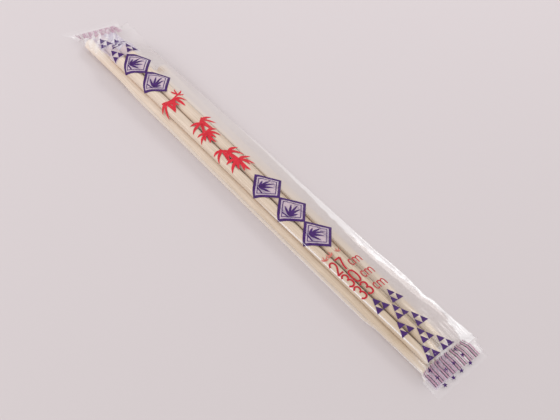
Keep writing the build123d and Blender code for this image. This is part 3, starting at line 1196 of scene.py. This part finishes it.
def printed(name, loops, ink, lift=INK_LIFT):
    """A piece of print, cut finely enough to follow the film."""
    flat = bmesh.new()
    for loop in loops:
        flat.faces.new([flat.verts.new((u, v, 0)) for u, v in loop])
    bmesh.ops.triangulate(flat, faces=flat.faces[:])
    cut_evenly(flat, 0, CUT_ALONG)
    cut_evenly(flat, 1, CUT_ACROSS)
    bmesh.ops.remove_doubles(flat, verts=flat.verts[:], dist=SAME_POINT)
    for vert in flat.verts:
        vert.co = place(on_film(vert.co.x, vert.co.y, lift))
    bmesh.ops.recalc_face_normals(flat, faces=flat.faces[:])
    data = bpy.data.meshes.new(name)
    flat.to_mesh(data)
    flat.free()
    smooth(data)
    data.materials.append(ink)
    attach(add_object(name, data), "root")


def stroke(points, width, closed=False):
    """Outlines of a line of one width with mitred corners."""
    line = [Vector(point) for point in points]
    ends = (line[-1], line[0]) if closed else (2 * line[0] - line[1], 2 * line[-1] - line[-2])
    full = [ends[0], *line, ends[1]]
    sides = []
    for before, point, after in zip(full, full[1:], full[2:]):
        one = (point - before).normalized()
        middle = (one + (after - point).normalized()).normalized()
        reach = Vector((-middle.y, middle.x)) * (width / 2 / max(middle.dot(one), SHARPEST_MITRE))
        sides.append((point + reach, point - reach))
    following = sides[1:] + sides[:1] if closed else sides[1:]
    return [(a[0], b[0], b[1], a[1]) for a, b in zip(sides, following)]


def curve(points):
    """A smooth line through points."""
    full = [Vector(point) for point in (points[0], *points, points[-1])]
    found = []
    for p, q, r, s in zip(full, full[1:], full[2:], full[3:]):
        for t in even_shares(CURVE_STEPS):
            bends = (2 * p - 5 * q + 4 * r - s) * t ** 2 + (3 * q - p - 3 * r + s) * t ** 3
            found.append(q + ((r - p) * t + bends) / 2)
    return found + [full[-1]]


def leaf(start, end, width, bend=0.0):
    """A pointed leaf, widest before its middle."""
    start = Vector(start)
    along = Vector(end) - start
    square = Vector((-along.y, along.x)).normalized()
    left = []
    right = []
    for t in even_shares(LEAF_STEPS)[1:]:
        half = LEAF_FULLNESS * width * sqrt(t) * (1 - t) ** LEAF_TAPER
        middle = start + along * t + square * (bend * sin(pi * t))
        left.append(middle + square * half)
        right.append(middle - square * half)
    return [start, *left, start + along, *right[::-1]]


def triple(u, v, size):
    """Three small triangles that point towards the heads and make a larger one."""
    length = size * TRIANGLE_SHARE
    half = size / 2
    tops = ((u, v), (u + size, v + half), (u + size, v - half))
    return [[(x, y), (x + length, y + half), (x + length, y - half)] for x, y in tops]


def diamond(u, share):
    """Corners of a diamond on the print line."""
    length = DIAMOND_HALF_LENGTH * share
    width = DIAMOND_HALF_WIDTH * share
    return [(u - length, DIAMOND_MIDDLE), (u, DIAMOND_MIDDLE + width),
            (u + length, DIAMOND_MIDDLE), (u, DIAMOND_MIDDLE - width)]


def motif(u, turn):
    """Five leaves on a short stem, turned to the tips or to the heads."""
    root = (u + MOTIF_ROOT[0] * turn, MOTIF_ROOT[1])
    leaves = [leaf(root, (u + ahead * turn, across), MOTIF_LEAF) for ahead, across in MOTIF_TIPS]
    return leaves + stroke([(u + ahead * turn, across) for ahead, across in MOTIF_STEM], MOTIF_STEM_WIDTH)


def purple_shapes():
    """Triangles, and diamond frames with a leaf motif in each."""
    places = [(u, v) for u in PAIRS_AT for v in PAIR_SIDES] + [(u, SINGLE_SIDE) for u in SINGLES_AT]
    found = [loop for u, v in places + list(BUNCHED_TRIPLES) for loop in triple(u, v, TRIANGLE)]
    for i, u in enumerate(DIAMOND_AT):
        found += stroke(diamond(u, FRAME_SHARE), FRAME_WIDTH, closed=True)
        found += stroke(diamond(u, INNER_FRAME_SHARE), INNER_FRAME_WIDTH, closed=True)
        found += motif(u, 1 if i % 2 else -1)
    return found


def leaf_fan(u, v, lean, size):
    """Four bamboo leaves that spread from one point of a stem."""
    found = []
    for turn, reach in FAN_LEAVES:
        angle = radians(lean + turn)
        tip = (u + size * reach * cos(angle), v + size * reach * sin(angle))
        found.append(leaf((u, v), tip, FAN_LEAF_SHARE * size, copysign(FAN_BEND_SHARE * size, turn)))
    return found


def red_shapes():
    """The bamboo sprigs."""
    found = []
    for stem, fans in SPRIGS:
        found += stroke(curve(stem), STEM_WIDTH)
        for fan in fans:
            found += leaf_fan(*fan)
    return found


def glyph(name, u, v, tall, wide, width):
    """A letter or number that reads across the pack, with its foot at u."""
    found = []
    for line in GLYPH_SHARES[name]:
        found += stroke([(u - y * tall, v + x * wide) for x, y in curve(line)], width)
    return found


def length_shapes():
    """The three stick lengths."""
    return [loop for foot, number in LENGTHS for name, mark in zip(number + "cm", MARKS)
            for loop in glyph(name, foot, *mark)]


def bar(u0, u1, v, width):
    """A printed line along the pack."""
    return [(u0, v - width / 2), (u1, v - width / 2), (u1, v + width / 2), (u0, v + width / 2)]


def stripes(ends, slant, gathers):
    """Dark and pink lines at an end seal. Where it gathers, only dark ones show, and only on the seal."""
    dark = []
    pink = []
    for i in range(BANDS):
        v = (i - (BANDS - 1) / 2) * BAND_PITCH
        drawn_in = gathers and v < GATHER_FROM
        last = FAR_MOUTH[0] if drawn_in else ends[1] + slant * v
        dark += [bar(ends[0], last, v + side, DARK_WIDTH) for side in (-DARK_SIDE, DARK_SIDE)]
        if not drawn_in:
            pink.append(bar(ends[0], last, v, PINK_WIDTH))
            pink.append(bar(ends[0], last, v + THIN_PINK_SIDE, THIN_PINK_WIDTH))
    return dark, pink


def star(u, v):
    """A small flower of five points."""
    points = []
    for i in range(2 * STAR_POINTS):
        reach = STAR_SIZE * STAR_WAIST if i % 2 else STAR_SIZE
        angle = pi * i / STAR_POINTS
        points.append((u + reach * cos(angle), v + reach * sin(angle)))
    return points


def add_print():
    """All the print, each ink as a piece."""
    fields = [diamond(u, DIAMOND_TINT_SHARE) for u in DIAMOND_AT]
    near_field = bar(*NEAR_STRIPES, *NEAR_TINT_ACROSS)
    small_leaves = [loop for fan in SMALL_FANS for loop in leaf_fan(*fan)]
    near_dark, near_pink = stripes(NEAR_STRIPES, NEAR_SLANT, False)
    far_dark, far_pink = stripes(FAR_STRIPES, FAR_SLANT, True)
    stars = [star(u, v + shift) for u, shift in STAR_ROWS for v in STAR_SIDES]
    purple = ink_material("purple_ink", *PURPLE)
    printed("print_tint", fields, tint_material("print_tint", *DIAMOND_TINT), TINT_LIFT)
    printed("print_far_tint", [FAR_TINT], tint_material("far_tint", *HEADS_TINT), TINT_LIFT)
    printed("print_near_tint", [near_field], tint_material("seal_tint", *SEAL_TINT), TINT_LIFT)
    printed("print_purple", purple_shapes(), purple)
    printed("print_red", red_shapes(), ink_material("red_ink", *RED))
    printed("print_lengths", length_shapes(), ink_material("number_ink", *NUMBER_RED))
    printed("print_small_leaves", small_leaves, ink_material("faded_ink", *FADED_RED))
    printed("print_near_dark_stripes", near_dark, ink_material("dark_ink", *DARK))
    printed("print_near_pink_stripes", near_pink, ink_material("pink_ink", *PINK))
    printed("print_far_dark_stripes", far_dark, ink_material("mauve_ink", *MAUVE))
    printed("print_far_pink_stripes", far_pink, ink_material("pale_pink_ink", *PALE_PINK))
    printed("print_stars", stars, purple)


# The floor, the world and the lamps

def add_floor():
    """A pale plain floor."""
    half = FLOOR_HALF
    corners = [(-half, -half, 0), (half, -half, 0), (half, half, 0), (-half, half, 0)]
    ground = add_mesh("floor", corners, [(0, 1, 2, 3)])
    ground.data.materials.append(floor_material())


def add_world():
    """An even, nearly white light all round."""
    world = bpy.data.worlds.new("world")
    bpy.context.scene.world = world
    world.use_nodes = True
    tree = world.node_tree
    set_inputs(tree, tree.nodes["Background"], {"Color": opaque(WORLD_COLOUR), "Strength": WORLD_STRENGTH})


def add_lamp(name, at, size, power):
    """A soft oblong lamp, long along the pack, that points at the middle of the pack."""
    data = bpy.data.lights.new(name, "AREA")
    data.shape = "ELLIPSE"
    data.size, data.size_y = size
    data.energy = power
    lamp = add_object(name, data)
    lamp.matrix_world = Matrix.Translation(Vector(at)) @ turned((1, 0, 0), at)


add_camera()
CLEAR_FILM = film_material()
add_film(CLEAR_FILM)
add_back_seam(CLEAR_FILM)
BAMBOO = bamboo_material()
for node in LINES:
    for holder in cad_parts[node].material_slots:
        holder.material = BAMBOO
add_print()
add_floor()
add_world()
for settings in LAMPS:
    add_lamp(*settings)
bpy.context.scene.view_settings.view_transform = "Standard"
